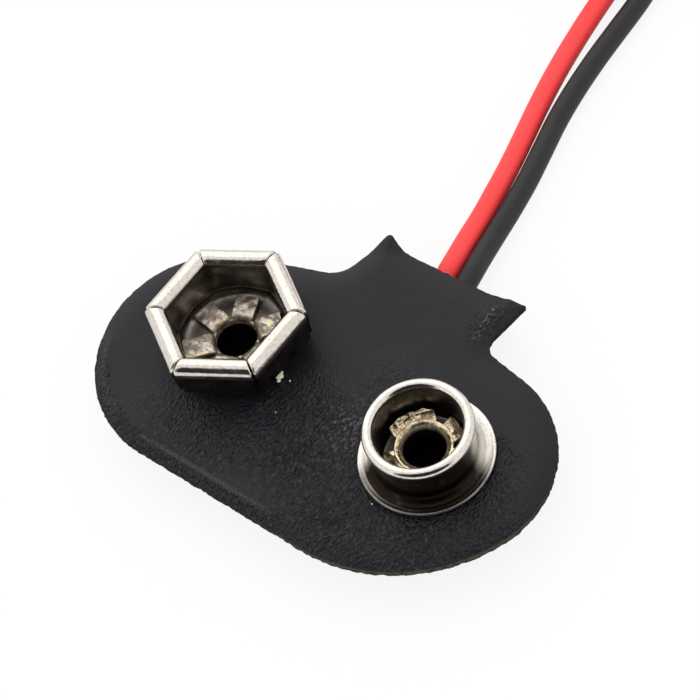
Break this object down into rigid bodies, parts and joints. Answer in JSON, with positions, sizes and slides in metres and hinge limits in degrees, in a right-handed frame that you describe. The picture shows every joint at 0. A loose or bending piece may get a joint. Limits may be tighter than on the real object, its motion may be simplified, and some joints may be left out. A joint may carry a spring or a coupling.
{
  "type": "battery snap connector",
  "caption": "Battery snap connector with a black welded cover, a hexagonal socket, a round stud and a red and a black lead.",
  "frame": {"origin": "midway between the two snaps, on the surface that the back cover rests on", "axes": "+X from the socket to the stud, +Y towards the tab that the leads leave, +Z out of the face that meets the battery"},
  "size_m": [0.035, 0.0567, 0.0065],
  "materials": {
    "cover": "fine grain, satin",
    "back_sheet": "fine grain, matte",
    "fibre": "raw board",
    "socket_nickel": "nickel plate, bright",
    "stud_nickel": "nickel plate, bright",
    "socket_rivet": "dull, pitted",
    "stud_rivet": "bright",
    "solder": "soft solder",
    "tinned_wire": "tinned strands",
    "red_vinyl": "satin vinyl",
    "black_vinyl": "satin vinyl"
  },
  "bodies": {
    "root": {"front_cover": "cover", "back_cover": "back_sheet", "terminal_board": "fibre", "socket_contact": "socket_nickel", "stud_contact": "stud_nickel", "socket_eyelet": "socket_rivet", "stud_eyelet": "stud_rivet", "socket_solder": "solder", "stud_solder": "solder", "red_conductor": "tinned_wire", "black_conductor": "tinned_wire", "red_lead_inner": "red_vinyl", "black_lead_inner": "black_vinyl", "red_lead": "red_vinyl", "black_lead": "black_vinyl", "lead_coil": "black_vinyl", "red_lead_end": "red_vinyl", "black_lead_end": "black_vinyl", "red_bare_end": "tinned_wire", "black_bare_end": "tinned_wire"}
  },
  "joints": []
}
